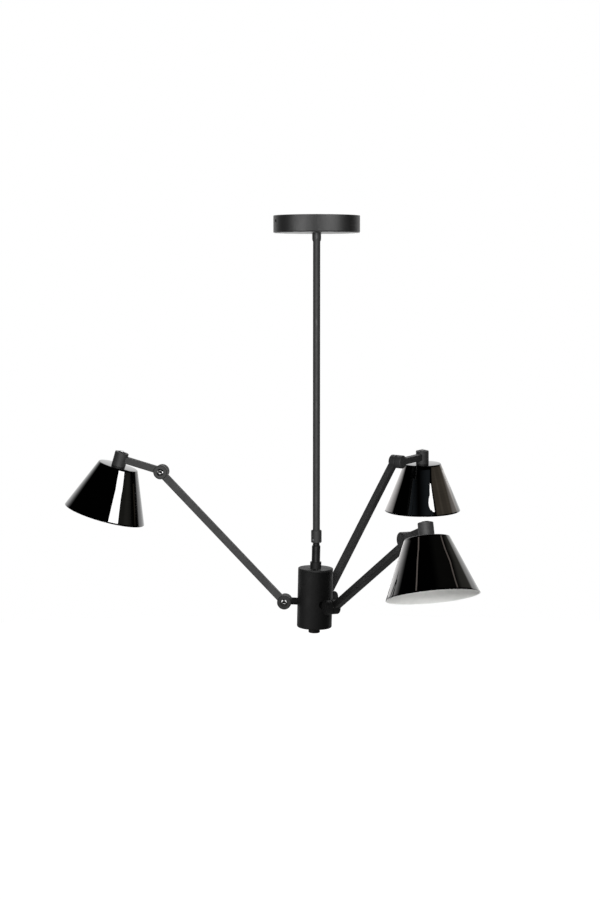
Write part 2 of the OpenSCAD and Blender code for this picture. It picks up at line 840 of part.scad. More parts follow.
canopy();
mounting_bracket();
canopy_side_screws();
terminal_block();
canopy_nipple();
canopy_nut();
top_collar();
down_rod();
swivel_plug();
swivel_cup();
swivel_grub_screw();
swivel_seat();
ball_stem();
hub_collar();
hub_top_cap();
hub_nut();
hub_body();
hub_finial();
stub_nuts();
base_screws();
for (i = [0 : len(arm_names) - 1]) {
    base_knuckle(i);
    arm_bar(i);
    arm_lower_knuckle(i);
    arm_upper_knuckle(i);
    arm_washers(i);
    elbow_screw(i);
    forearm_knuckle(i);
    forearm(i);
    post(i);
    post_screw(i);
    shade(i);
    lampholder(i);
    bulb(i);
}
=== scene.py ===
"""Looks of a three-arm pendant light: textured black steel, black chrome shades and bright screws.

Metres, +Z up, with the origin in the ceiling plane on the axis of the rod.
"""

import json
import logging
import math
from collections.abc import Iterable
from dataclasses import dataclass, field
from enum import Enum

import bmesh
import bpy
from bmesh.types import BMesh, BMVert
from bpy.types import ID, Collection, Material, Node, NodeSocket, NodeTree, Object, World
from mathutils import Matrix, Vector


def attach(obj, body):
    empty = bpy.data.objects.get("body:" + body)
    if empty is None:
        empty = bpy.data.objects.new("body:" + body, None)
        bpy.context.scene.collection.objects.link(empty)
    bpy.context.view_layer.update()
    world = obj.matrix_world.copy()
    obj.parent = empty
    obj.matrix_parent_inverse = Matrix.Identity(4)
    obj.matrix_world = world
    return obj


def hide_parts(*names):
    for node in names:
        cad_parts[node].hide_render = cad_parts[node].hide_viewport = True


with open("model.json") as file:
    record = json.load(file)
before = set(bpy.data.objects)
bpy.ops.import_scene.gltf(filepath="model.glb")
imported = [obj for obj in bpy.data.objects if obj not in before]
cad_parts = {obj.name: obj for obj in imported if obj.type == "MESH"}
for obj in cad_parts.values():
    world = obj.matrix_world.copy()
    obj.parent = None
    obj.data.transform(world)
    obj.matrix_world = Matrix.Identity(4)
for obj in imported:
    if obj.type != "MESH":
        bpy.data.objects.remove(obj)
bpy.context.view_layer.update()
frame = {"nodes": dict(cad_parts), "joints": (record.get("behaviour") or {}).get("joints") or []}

log = logging.getLogger("pendant_light")

Colour = tuple[float, float, float, float]
Place = tuple[float, float, float]
Row = tuple[float, float, float]
Pair = tuple[float, float]

MM = 0.001
ARMS = ("left", "rear", "front")
WHITE: Colour = (1.0, 1.0, 1.0, 1.0)
CORNER_SEGMENTS = 6
# Vertices nearer than this become one, and faces that meet at a larger angle show an edge
MERGE = 0.001 * MM
CREASE = math.radians(35)


class Slot(Enum):
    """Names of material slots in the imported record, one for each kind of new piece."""

    SHADE = "black_chrome_shade"
    SCREW = "black_chrome_screw"
    GLASS = "frosted_glass"


def grey(level: float) -> Colour:
    """Returns a neutral colour of that linear level."""
    return (level, level, level, 1.0)


# Shader trees


@dataclass(frozen=True)
class ShaderTree:
    """The tree of a material, a world or a node group, with short calls that add and join nodes."""

    tree: NodeTree

    def feed(self, node: Node, sockets: dict[str | int, object]) -> None:
        """Sets inputs of a node.

        Args:
            node: A node of this tree.
            sockets: Values, or outputs to join, by the name or the number of the input.
        """
        for name, value in sockets.items():
            if isinstance(value, NodeSocket):
                self.tree.links.new(value, node.inputs[name])
            else:
                node.inputs[name].default_value = value

    def add(self, kind: str, sockets: dict[str | int, object] | None = None, **settings: object) -> Node:
        """Adds a node.

        Args:
            kind: The node's type without its ShaderNode prefix.
            sockets: What its inputs get, as in feed.
            settings: The node's own properties.

        Returns:
            The new node.
        """
        node = self.tree.nodes.new("ShaderNode" + kind)
        for name, value in settings.items():
            setattr(node, name, value)
        self.feed(node, sockets or {})
        return node

    def maths(self, operation: str, first: object, second: object) -> NodeSocket:
        """Returns the output of a Math node on two values or sockets."""
        return self.add("Math", {0: first, 1: second}, operation=operation).outputs[0]

    def mix(self, share: object, first: object, second: object) -> NodeSocket:
        """Returns a value between two, by a share from 0 to 1."""
        return self.add("Mix", {0: share, 2: first, 3: second}).outputs[0]

    def blend(self, share: object, first: object, second: object) -> NodeSocket:
        """Returns a colour between two, by a share from 0 to 1."""
        return self.add("Mix", {0: share, 6: first, 7: second}, data_type="RGBA").outputs[2]

    def ramp(self, value: NodeSocket, span: Pair = (0.0, 1.0), result: Pair = (0.0, 1.0)) -> NodeSocket:
        """Maps a value smoothly from one range to another, held at its ends.

        Args:
            value: The output that is mapped.
            span: Values that give the two ends of the result.
            result: The two ends of the result.

        Returns:
            The mapped value.
        """
        sockets = {"Value": value, "From Min": span[0], "From Max": span[1],
                   "To Min": result[0], "To Max": result[1]}
        return self.add("MapRange", sockets, interpolation_type="SMOOTHSTEP").outputs["Result"]

    def group(self, effect: NodeTree, place: NodeSocket, fineness: float) -> dict[str, NodeSocket]:
        """Returns the outputs, by name, of an effect that is placed with its own values."""
        node = self.add("Group", {"Vector": place, "Fineness": fineness}, node_tree=effect)
        return {socket.name: socket for socket in node.outputs}


def new_effect(name: str, *outputs: str) -> tuple[ShaderTree, NodeSocket, NodeSocket, Node]:
    """Starts a node group that reads a place and a fineness.

    Args:
        name: Name of the group.
        outputs: Names of the values that it puts out.

    Returns:
        The group's tree, its place, its fineness and its output node.
    """
    tree = bpy.data.node_groups.new(name, "ShaderNodeTree")
    tree.interface.new_socket("Vector", in_out="INPUT", socket_type="NodeSocketVector")
    tree.interface.new_socket("Fineness", in_out="INPUT", socket_type="NodeSocketFloat")
    for label in outputs:
        tree.interface.new_socket(label, in_out="OUTPUT", socket_type="NodeSocketFloat")
    given = tree.nodes.new("NodeGroupInput").outputs
    return ShaderTree(tree), given["Vector"], given["Fineness"], tree.nodes.new("NodeGroupOutput")


@dataclass
class Effects:
    """The surface effects that the finishes share, each a node group that is built once.

    A span holds the values of a noise that give none and all of the effect.
    """

    grit_fineness: float = 1.7
    grit_height: float = 0.5
    mottle_fineness: float = 0.16
    mottle_span: Pair = (0.3, 0.7)
    film_span: Pair = (0.42, 0.72)
    tone_span: Pair = (0.35, 0.65)
    powder_grain: NodeTree = field(init=False)
    handling_marks: NodeTree = field(init=False)
    lathe_marks: NodeTree = field(init=False)

    def __post_init__(self) -> None:
        """Builds each effect."""
        self.powder_grain = self._powder_grain()
        self.handling_marks = self._handling_marks()
        self.lathe_marks = self._lathe_marks()

    def _powder_grain(self) -> NodeTree:
        """Makes the fine bumps and the faint mottle of a textured powder coat.

        Returns:
            The node group.
        """
        tree, place, fine, result = new_effect("powder_grain", "Height", "Mottle")
        bumps = tree.add("TexVoronoi", {"Vector": place, "Scale": fine, "Smoothness": 0.6},
                         feature="SMOOTH_F1")
        grit_scale = tree.maths("MULTIPLY", fine, self.grit_fineness)
        grit = tree.add("TexNoise", {"Vector": place, "Scale": grit_scale, "Detail": 3.0, "Roughness": 0.6})
        mottle_scale = tree.maths("MULTIPLY", fine, self.mottle_fineness)
        mottle = tree.add("TexNoise", {"Vector": place, "Scale": mottle_scale, "Detail": 4.0,
                                       "Roughness": 0.65})
        grit_height = tree.maths("MULTIPLY", grit.outputs[0], self.grit_height)
        tree.feed(result, {"Height": tree.maths("ADD", bumps.outputs["Distance"], grit_height),
                           "Mottle": tree.ramp(mottle.outputs[0], self.mottle_span)})
        return tree.tree

    def _handling_marks(self) -> NodeTree:
        """Makes the cloudy film that hands and cloths leave on a face.

        Returns:
            The node group.
        """
        tree, place, fine, result = new_effect("handling_marks", "Film")
        cloud = tree.add("TexNoise", {"Vector": place, "Scale": fine, "Detail": 5.0, "Roughness": 0.6,
                                      "Distortion": 0.8})
        tree.feed(result, {"Film": tree.ramp(cloud.outputs[0], self.film_span)})
        return tree.tree

    def _lathe_marks(self) -> NodeTree:
        """Makes the rings that turning or spinning leaves round the Z axis of the pattern.

        Returns:
            The node group.
        """
        tree, place, fine, result = new_effect("lathe_marks", "Height", "Tone")
        parts = tree.add("SeparateXYZ", {0: place}).outputs
        flat = tree.add("CombineXYZ", {"X": parts["X"], "Y": parts["Y"]})
        radius = tree.add("VectorMath", {0: flat.outputs[0]}, operation="LENGTH").outputs["Value"]
        along = tree.maths("ADD", parts["Z"], radius)
        rings = tree.add("TexNoise", {"W": along, "Scale": fine, "Detail": 2.0},
                         noise_dimensions="1D").outputs[0]
        tree.feed(result, {"Height": rings, "Tone": tree.ramp(rings, self.tone_span)})
        return tree.tree


def bare_tree(owner: Material | World) -> ShaderTree:
    """Empties the nodes of a material or a world.

    Args:
        owner: The material or the world.

    Returns:
        Its tree.
    """
    owner.use_nodes = True
    owner.node_tree.nodes.clear()
    return ShaderTree(owner.node_tree)


def start_material(name: str) -> tuple[Material, ShaderTree, Node, NodeSocket]:
    """Starts the material of a finish.

    Args:
        name: The material's name.

    Returns:
        The material, its tree, its Principled BSDF, already joined to the output, and its Object coordinates.
    """
    material = bpy.data.materials.new(name)
    tree = bare_tree(material)
    shader = tree.add("BsdfPrincipled")
    tree.add("OutputMaterial", {"Surface": shader.outputs[0]})
    return material, tree, shader, tree.add("TexCoord").outputs["Object"]


# Finishes


@dataclass(frozen=True)
class Finish:
    """What every finish has: its name and the two tones that its pattern runs between."""

    name: str
    dark: Colour
    light: Colour


@dataclass(frozen=True)
class PowderCoat(Finish):
    """Matt black powder coat with a fine leathery grain.

    Where a distance is given, the coat is plain black as near as that to the middle of the arms' hinges.
    """

    roughness: Pair = (0.52, 0.64)
    specular: float = 0.5
    grain: float = 0.55 * MM
    depth: float = 0.035 * MM
    bump: float = 0.6
    film_fineness: float = 30.0
    mottle_share: float = 0.7
    height_share: float = 0.4
    plain_within: float = 0.0
    plain_edge: float = 0.3 * MM
    plain: Colour = grey(0.003)
    plain_roughness: float = 0.8

    def material(self, effects: Effects) -> Material:
        """Makes the finish.

        Args:
            effects: The shared effects.

        Returns:
            The material.
        """
        material, tree, shader, place = start_material(self.name)
        grain = tree.group(effects.powder_grain, place, 1.0 / self.grain)
        film = tree.group(effects.handling_marks, place, self.film_fineness)
        bump = tree.add("Bump", {"Height": grain["Height"], "Distance": self.depth, "Strength": self.bump})
        shade = tree.maths("ADD", tree.maths("MULTIPLY", grain["Mottle"], self.mottle_share),
                           tree.maths("MULTIPLY", grain["Height"], self.height_share))
        colour = tree.blend(shade, self.dark, self.light)
        handled, untouched = self.roughness
        roughness = tree.ramp(film["Film"], result=(untouched, handled))
        if self.plain_within > 0.0:
            hinges = [Vector(j["pos_m"]) for j in frame["joints"] if j["name"].endswith("_arm_hinge")]
            middle = sum(hinges, Vector()) / len(hinges)
            away = tree.add("VectorMath", {0: place, 1: middle}, operation="DISTANCE").outputs["Value"]
            plain = tree.ramp(away, (self.plain_within, self.plain_within + self.plain_edge), (1.0, 0.0))
            colour = tree.blend(plain, colour, self.plain)
            roughness = tree.mix(plain, roughness, self.plain_roughness)
        tree.feed(shader, {"Base Color": colour, "Roughness": roughness, "Normal": bump.outputs[0],
                           "Specular IOR Level": self.specular})
        return material


@dataclass(frozen=True)
class MirrorBlack(Finish):
    """Black chrome on spun or turned steel: a dark mirror with faint rings round its axis."""

    roughness: float
    ring: float
    wave: float
    wave_fineness: float = 55.0
    wave_stretch: float = 0.35
    ring_depth: float = 0.02
    ring_bump: float = 0.5
    ring_share: float = 0.5
    film_fineness: float = 45.0
    film_share: float = 0.5

    def material(self, effects: Effects, axis: Matrix) -> Material:
        """Makes the finish for one piece.

        Args:
            effects: The shared effects.
            axis: Frame of the piece, with Z along the axis that it was turned about.

        Returns:
            The material.
        """
        material, tree, shader, place = start_material(self.name)
        inverse = axis.inverted()
        place = tree.add("Mapping", {"Vector": place, "Location": inverse.to_translation(),
                                     "Rotation": inverse.to_euler()}).outputs[0]
        rings = tree.group(effects.lathe_marks, place, 1.0 / self.ring)
        film = tree.group(effects.handling_marks, place, self.film_fineness)
        stretched = tree.add("Mapping", {"Vector": place, "Scale": (1.0, 1.0, self.wave_stretch)})
        waves = tree.add("TexNoise", {"Vector": stretched.outputs[0], "Scale": self.wave_fineness,
                                      "Detail": 1.0})
        ripple = tree.add("Bump", {"Height": waves.outputs[0], "Distance": self.wave, "Strength": 1.0})
        bump = tree.add("Bump", {"Height": rings["Height"], "Distance": self.wave * self.ring_depth,
                                 "Strength": self.ring_bump, "Normal": ripple.outputs[0]})
        shade = tree.maths("ADD", tree.maths("MULTIPLY", film["Film"], self.film_share),
                           tree.maths("MULTIPLY", rings["Tone"], self.ring_share))
        tree.feed(shader, {"Base Color": tree.blend(shade, self.dark, self.light), "Normal": bump.outputs[0],
                           "Metallic": 1.0, "Roughness": self.roughness})
        return material


@dataclass(frozen=True)
class TurnedMetal(Finish):
    """Bare or plated metal with machining marks and a cloudy film."""

    roughness: Pair
    fineness: float
    depth: float = 0.01 * MM
    bump: float = 0.4
    film_fineness: float = 90.0

    def material(self, effects: Effects) -> Material:
        """Makes the finish.

        Args:
            effects: The shared effects.

        Returns:
            The material.
        """
        material, tree, shader, place = start_material(self.name)
        rings = tree.group(effects.lathe_marks, place, self.fineness)
        film = tree.group(effects.handling_marks, place, self.film_fineness)["Film"]
        bump = tree.add("Bump", {"Height": rings["Height"], "Distance": self.depth, "Strength": self.bump})
        tree.feed(shader, {"Base Color": tree.blend(film, self.dark, self.light),
                           "Roughness": tree.ramp(film, result=self.roughness),
                           "Normal": bump.outputs[0], "Metallic": 1.0})
        return material


@dataclass(frozen=True)
class Moulded(Finish):
    """Smooth moulded, glazed or sprayed finish with a faint mottle."""

    roughness: Pair
    coat: float = 0.0
    subsurface: float = 0.0
    subsurface_depth: float = 1.5 * MM
    transmission: float = 0.0
    fineness: float = 1400.0
    depth: float = 0.01 * MM
    bump: float = 0.3
    film_fineness: float = 60.0

    def material(self, effects: Effects) -> Material:
        """Makes the finish.

        Args:
            effects: The shared effects.

        Returns:
            The material.
        """
        material, tree, shader, place = start_material(self.name)
        film = tree.group(effects.handling_marks, place, self.film_fineness)["Film"]
        grain = tree.group(effects.powder_grain, place, self.fineness)
        bump = tree.add("Bump", {"Height": grain["Height"], "Distance": self.depth, "Strength": self.bump})
        tree.feed(shader, {"Base Color": tree.blend(film, self.light, self.dark),
                           "Roughness": tree.ramp(film, result=self.roughness),
                           "Normal": bump.outputs[0], "Coat Weight": self.coat,
                           "Subsurface Weight": self.subsurface, "Subsurface Scale": self.subsurface_depth,
                           "Transmission Weight": self.transmission})
        return material


TEXTURED_BLACK = PowderCoat("textured_black", grey(0.022), grey(0.038))
KNUCKLE_BLACK = PowderCoat("knuckle_black", grey(0.018), grey(0.032), specular=0.2, plain_within=33.8 * MM)
CANOPY_BLACK = PowderCoat("canopy_black", grey(0.004), grey(0.008), (0.41, 0.46))
# Painted shade: a darker satin copy of the coat, partly the hub's own paint and partly the shade round the
# hub that the arms and the front shade keep out of the light
HUB_SATIN_AND_SHADE = PowderCoat("hub_satin_and_painted_shade", grey(0.006), grey(0.011), (0.5, 0.62), specular=0.3)
# Painted light and shade: darker than the arms' coat for the shade round the hub, lighter than the hub's for
# the lit top of the lid
LID_PAINTED_LIGHT_AND_SHADE = PowderCoat("lid_painted_light_and_shade", grey(0.010), grey(0.016), (0.5, 0.62), specular=0.3)
# Partly painted shade: near black without sheen, the side screws' own black and the shade in their sockets,
# so they show as dark dots
SCREW_BLACK_AND_SOCKET_SHADE = PowderCoat("screw_black_and_painted_socket_shade", grey(0.002), grey(0.004), (0.3, 0.4), specular=0.0)
# Partly painted shade: a darker, smoother copy of the coat, the stem's own finish and the shade under the
# coupling near the hub
STEM_SMOOTH_AND_SHADE = PowderCoat("stem_smooth_and_painted_shade", grey(0.006), grey(0.010), (0.34, 0.44), specular=0.4, depth=0.01 * MM)
SHADE_CHROME = MirrorBlack("black_chrome", grey(0.075), grey(0.095), 0.0, ring=0.8 * MM, wave=0.05 * MM)
SCREW_CHROME = MirrorBlack("screw_chrome", grey(0.16), grey(0.24), 0.12, ring=0.15 * MM, wave=0.004 * MM)
ZINC = TurnedMetal("zinc_plate", (0.40, 0.41, 0.43, 1.0), grey(0.58), (0.28, 0.46), 900.0)
BRASS = TurnedMetal("brass", (0.52, 0.36, 0.13, 1.0), (0.70, 0.52, 0.22, 1.0), (0.2, 0.38), 2000.0)
NYLON = Moulded("nylon", (0.62, 0.59, 0.50, 1.0), (0.74, 0.71, 0.62, 1.0), (0.4, 0.55), subsurface=0.2)
TERMINAL = Moulded("terminal_plastic", (0.70, 0.69, 0.65, 1.0), (0.80, 0.79, 0.75, 1.0), (0.35, 0.5),
                   subsurface=0.1)
CERAMIC = Moulded("ceramic", (0.74, 0.73, 0.69, 1.0), (0.84, 0.83, 0.80, 1.0), (0.25, 0.4), coat=0.3)
ENAMEL = Moulded("white_inside", (0.76, 0.765, 0.745, 1.0), (0.82, 0.82, 0.80, 1.0), (0.38, 0.5), coat=0.1)
FROSTED = Moulded("frosted_glass", (0.86, 0.86, 0.85, 1.0), (0.94, 0.94, 0.93, 1.0), (0.42, 0.55),
                  transmission=0.45)

# What each carried-over node is finished in, by its name without that of the arm
NODE_FINISHES = {
    "canopy": CANOPY_BLACK, "top_collar": TEXTURED_BLACK, "down_rod": TEXTURED_BLACK,
    "swivel_cup": TEXTURED_BLACK, "swivel_plug": TEXTURED_BLACK, "canopy_side_screws": SCREW_BLACK_AND_SOCKET_SHADE,
    "ball_stem": STEM_SMOOTH_AND_SHADE, "hub_collar": HUB_SATIN_AND_SHADE, "hub_top_cap": LID_PAINTED_LIGHT_AND_SHADE, "hub_body": HUB_SATIN_AND_SHADE,
    "hub_finial": HUB_SATIN_AND_SHADE, "base_knuckle": KNUCKLE_BLACK,
    "arm_bar": TEXTURED_BLACK, "arm_lower_knuckle": KNUCKLE_BLACK, "arm_upper_knuckle": TEXTURED_BLACK,
    "forearm_knuckle": TEXTURED_BLACK, "forearm": TEXTURED_BLACK, "post": TEXTURED_BLACK,
    "mounting_bracket": ZINC, "hub_nut": ZINC, "stub_nuts": ZINC, "swivel_grub_screw": ZINC,
    "canopy_nipple": BRASS, "canopy_nut": BRASS,
    "terminal_block": TERMINAL, "swivel_seat": NYLON, "arm_washers": NYLON, "lampholder": CERAMIC,
}


# Measuring and making pieces


@dataclass(frozen=True)
class Lathe:
    """The axis of a turned node, with Z along it."""

    matrix: Matrix

    @staticmethod
    def on(origin: Vector, along: Vector) -> "Lathe":
        """Returns the axis through a point along a direction."""
        turn = along.to_track_quat("Z", "Y").to_matrix().to_4x4()
        return Lathe(Matrix.Translation(origin) @ turn)

    def points(self, node: str, reach: float = 1.0) -> list[Vector]:
        """Finds a node's vertices in the frame of this axis.

        Args:
            node: The CAD node.
            reach: Vertices further than this from the axis belong to another solid.

        Returns:
            The places of the vertices.
        """
        inverse = self.matrix.inverted()
        places = [inverse @ vertex.co for vertex in frame["nodes"][node].data.vertices]
        return [place for place in places if place.xy.length < reach]

    def span(self, node: str, reach: float = 1.0) -> tuple[float, float, float]:
        """Measures a node about this axis.

        Args:
            node: The CAD node.
            reach: As in points.

        Returns:
            The lowest and the highest place along the axis, and the largest radius.
        """
        points = self.points(node, reach)
        heights = [point.z for point in points]
        return min(heights), max(heights), max(point.xy.length for point in points)


def centre_of_mass(node: str) -> Vector:
    """Finds the centre of a node's volume, which lies on the axis of a turned piece.

    Args:
        node: The CAD node.

    Returns:
        The centre.
    """
    mesh = frame["nodes"][node].data
    mesh.calc_loop_triangles()
    volume, moment = 0.0, Vector()
    for triangle in mesh.loop_triangles:
        a, b, c = (mesh.vertices[i].co for i in triangle.vertices)
        share = a.dot(b.cross(c))
        volume += share
        moment += share * (a + b + c) / 4
    return moment / volume


def sealed(mesh: BMesh) -> BMesh:
    """Merges a mesh's doubled vertices and turns its faces outwards.

    Args:
        mesh: The mesh, which is changed.

    Returns:
        The same mesh.
    """
    bmesh.ops.remove_doubles(mesh, verts=mesh.verts, dist=MERGE)
    bmesh.ops.recalc_face_normals(mesh, faces=mesh.faces)
    return mesh


def spun(outline: list[Pair], rounds: dict[int, float], steps: int, closed: bool = True) -> BMesh:
    """Spins an outline about Z.

    Args:
        outline: Corners as (radius, height), in order.
        rounds: How far a corner is rounded along its edges, by the corner's number.
        steps: Faces round the axis.
        closed: Whether the last corner joins the first.

    Returns:
        The mesh, with its faces outwards.
    """
    mesh = bmesh.new()
    corners = [mesh.verts.new((radius, 0.0, height)) for radius, height in outline]
    ends = corners[1:] + corners[:1] if closed else corners[1:]
    for first, second in zip(corners, ends):
        mesh.edges.new((first, second))
    for number, distance in rounds.items():
        bmesh.ops.bevel(mesh, geom=[corners[number]], offset=distance, offset_type="OFFSET",
                        segments=CORNER_SEGMENTS, profile=0.5, affect="VERTICES", material=-1)
    bmesh.ops.spin(mesh, geom=mesh.verts[:] + mesh.edges[:], cent=(0, 0, 0), axis=(0, 0, 1), angle=math.tau,
                   steps=steps, use_merge=True)
    return sealed(mesh)


def in_scene(name: str, data: ID) -> Object:
    """Puts a new object into the scene.

    Args:
        name: The object's name.
        data: Its mesh, lamp or camera.

    Returns:
        The object.
    """
    thing = bpy.data.objects.new(name, data)
    bpy.context.scene.collection.objects.link(thing)
    return thing


def mesh_in_scene(name: str, mesh: BMesh, materials: Iterable[Material]) -> Object:
    """Puts a bmesh into the scene as a new object.

    Args:
        name: The object's name.
        mesh: Its shape, which is freed.
        materials: Materials in the order of the faces' material numbers.

    Returns:
        The object.
    """
    data = bpy.data.meshes.new(name)
    mesh.to_mesh(data)
    mesh.free()
    for material in materials:
        data.materials.append(material)
    return in_scene(name, data)


def finish_piece(name: str, mesh: BMesh, place: Matrix, materials: Iterable[Material], body: str,
                 node: str) -> Object:
    """Turns a bmesh into a piece of the object.

    Args:
        name: The piece's name.
        mesh: Its shape, which is freed.
        place: Frame that the shape is moved to.
        materials: Materials in the order of the faces' material numbers.
        body: CAD body that the piece moves with.
        node: CAD node that the piece stands for.

    Returns:
        The piece.
    """
    bmesh.ops.transform(mesh, matrix=place, verts=mesh.verts)
    for face in mesh.faces:
        face.smooth = True
    for edge in mesh.edges:
        edge.smooth = len(edge.link_faces) == 2 and edge.calc_face_angle() < CREASE
    piece = mesh_in_scene(name, mesh, materials)
    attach(piece, body)
    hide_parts(node)
    log.info("%s: %d faces on %s, for %s", name, len(piece.data.polygons), body, node)
    return piece


# Sub-assemblies


@dataclass
class LampHead:
    """One shade with its bulb, on the axis of its post.

    white_from says how deep in the wall the white starts, in shares of it, at the cone and at the flat top.
    The bulb's sizes are shares of its radius.
    """

    arm: str
    wall: float = 1.0 * MM
    top_turn: float = 1.5 * MM
    rim_turn: float = 0.35 * MM
    flatness: float = 0.01 * MM
    end_ring: float = 0.03
    white_from: Pair = (0.6, 0.5)
    steps: int = 224
    bulb_tip: float = 0.8
    bulb_rounds: tuple[float, float, float] = (0.95, 0.25, 0.1)
    bulb_steps: int = 64
    lathe: Lathe = field(init=False)
    lean: float = field(init=False)
    apex: float = field(init=False)

    def __post_init__(self) -> None:
        """Finds the post's axis from the post and the shade, which are both turned about it."""
        shade = centre_of_mass(f"{self.arm}_shade")
        self.lathe = Lathe.on(shade, centre_of_mass(f"{self.arm}_post") - shade)

    def build_shade(self, chrome: Material, inside: Material) -> Object:
        """Spins the shade: a cone with a flat top and a clean rim, white inside.

        Args:
            chrome: Outside finish.
            inside: Inside finish.

        Returns:
            The shade.
        """
        node = f"{self.arm}_shade"
        foot, top, rim = self.lathe.span(node)
        points = self.lathe.points(node)
        hole = min(point.xy.length for point in points)
        flat = max(point.xy.length for point in points if point.z > top - self.flatness)
        lean = math.atan2(rim - flat, top - foot)
        # The flat top ends where its turn starts, so the corner lies a little further out
        corner = flat + self.top_turn * math.tan((math.pi / 2 - lean) / 2)
        self.lean = lean = math.atan2(rim - corner, top - foot)
        self.apex = foot + rim / math.tan(lean)
        level = self.wall / math.cos(lean)
        inner = corner - level + self.wall * math.tan(lean)
        under = top - self.wall
        # A ring near each end of the cone keeps its shading straight between them
        drops = (self.end_ring, 1.0 - self.end_ring)
        rings = [(corner + (rim - corner) * drop, top - (top - foot) * drop) for drop in drops]
        outline = [(hole, top), (corner, top), *rings, (rim, foot), (rim - level, foot), (inner, under),
                   (hole, under)]
        turn = math.tan((math.pi / 2 - lean) / 2)
        rounds = {1: self.top_turn * turn, 4: self.rim_turn, 5: self.rim_turn,
                  6: (self.top_turn - self.wall) * turn}
        mesh = spun(outline, rounds, self.steps)
        white_side, white_top = self.white_from
        for face in mesh.faces:
            middle = face.calc_center_median()
            outer = corner + (rim - corner) * (top - middle.z) / (top - foot)
            within = middle.xy.length < outer - level * white_side
            face.material_index = int(within and middle.z < top - self.wall * white_top)
        return finish_piece(f"{self.arm}_shade_shell", mesh, self.lathe.matrix, (chrome, inside),
                            f"{self.arm}_head", node)

    def build_bulb(self, glass: Material) -> Object:
        """Spins the frosted capsule.

        Args:
            glass: Finish of the capsule.

        Returns:
            The bulb.
        """
        node = f"{self.arm}_bulb"
        foot, top, radius = self.lathe.span(node)
        outline = [(0.0, foot), (radius, foot), (radius, top - radius), (radius * self.bulb_tip, top),
                   (0.0, top)]
        rounds = {corner: radius * share for corner, share in enumerate(self.bulb_rounds, 1)}
        mesh = spun(outline, rounds, self.bulb_steps, closed=False)
        return finish_piece(f"{self.arm}_bulb_capsule", mesh, self.lathe.matrix, (glass,),
                            f"{self.arm}_head", node)

    def mirrored(self, origin: Vector, direction: Vector, distance: float) -> Vector:
        """Follows a line of sight to the shade's cone, taken as endless, and out again.

        Args:
            origin: Where the line starts.
            direction: Unit vector along it.
            distance: How far it runs after the cone.

        Returns:
            The place where it ends.
        """
        inverse = self.lathe.matrix.inverted()
        tip = Vector((0.0, 0.0, self.apex))
        sight = inverse.to_3x3() @ direction
        eye = inverse @ origin - tip
        widening = math.tan(self.lean) ** 2
        square = sight.xy.dot(sight.xy) - widening * sight.z ** 2
        half = eye.xy.dot(sight.xy) - widening * eye.z * sight.z
        rest = eye.xy.dot(eye.xy) - widening * eye.z ** 2
        away = (-half - math.sqrt(max(half * half - square * rest, 0.0))) / square
        place = eye + away * sight
        outward = Vector((place.x, place.y, 0.0)).normalized()
        normal = outward * math.cos(self.lean) + Vector((0.0, 0.0, math.sin(self.lean)))
        return self.lathe.matrix @ (place + tip + distance * sight.reflect(normal))


@dataclass
class CapScrew:
    """A socket cap screw with a low domed head, measured from its node."""

    node: str
    lathe: Lathe
    reach: float = 1.0
    head_share: float = 0.95
    end_length: float = 0.2 * MM
    end_edge: float = 0.3 * MM
    dome: float = 1.1 * MM
    dome_steps: int = 5
    edge: float = 0.3 * MM
    under_edge: float = 0.15 * MM
    land: float = 0.3 * MM
    socket_width: float = 4.0 * MM
    socket_rim: float = 0.1 * MM
    socket_depth: float = 1.6 * MM
    drill_point: float = 0.8 * MM
    flats: int = 6
    sides: int = 48

    def mesh(self) -> BMesh:
        """Spins the head and the shank and sinks a hexagon socket into the head.

        Returns:
            The screw, with Z along its axis and the head up.
        """
        foot, top, head = self.lathe.span(self.node, self.reach)
        points = self.lathe.points(self.node, self.reach)
        shoulder = min(point.z for point in points if point.xy.length > head * self.head_share)
        shank = max(point.xy.length for point in points if point.z < foot + self.end_length)
        corner = self.socket_width / math.sqrt(3)
        ring = corner + self.land
        ball = (head ** 2 + self.dome ** 2) / (2 * self.dome)
        last = self.dome_steps
        radii = [ring + (head - ring) * step / last for step in range(last + 1)]
        outline = [(radius, top - ball + math.sqrt(ball ** 2 - radius ** 2)) for radius in radii]
        outline += [(head, shoulder), (shank, shoulder), (shank, foot), (0.0, foot)]
        rounds = {last: self.edge, last + 1: self.under_edge, last + 3: self.end_edge}
        mesh = spun(outline, rounds, self.sides, closed=False)
        rim = [edge for edge in mesh.edges if edge.is_boundary]
        hexagon = bmesh.ops.create_circle(mesh, cap_ends=False, segments=self.flats, radius=corner)["verts"]
        bmesh.ops.translate(mesh, vec=(0.0, 0.0, outline[0][1] - self.socket_rim), verts=hexagon)
        straight = [edge for edge in mesh.edges if edge.is_wire]
        bmesh.ops.subdivide_edges(mesh, edges=straight, cuts=self.sides // self.flats - 1)
        socket = [edge for edge in mesh.edges if edge.is_wire]
        bmesh.ops.bridge_loops(mesh, edges=rim + socket)
        wall = bmesh.ops.extrude_edge_only(mesh, edges=socket)["geom"]
        floor = [item for item in wall if isinstance(item, BMVert)]
        bmesh.ops.translate(mesh, vec=(0.0, 0.0, -self.socket_depth), verts=floor)
        bottom = bmesh.ops.edgeloop_fill(mesh, edges=[e for e in mesh.edges if e.is_boundary])["faces"]
        point = bmesh.ops.poke(mesh, faces=bottom)["verts"]
        bmesh.ops.translate(mesh, vec=(0.0, 0.0, -self.drill_point), verts=point)
        return sealed(mesh)


@dataclass(frozen=True)
class ScrewHead:
    """Where a screw's head sits and looks."""

    centre: Vector
    facing: Vector
    piece: Object


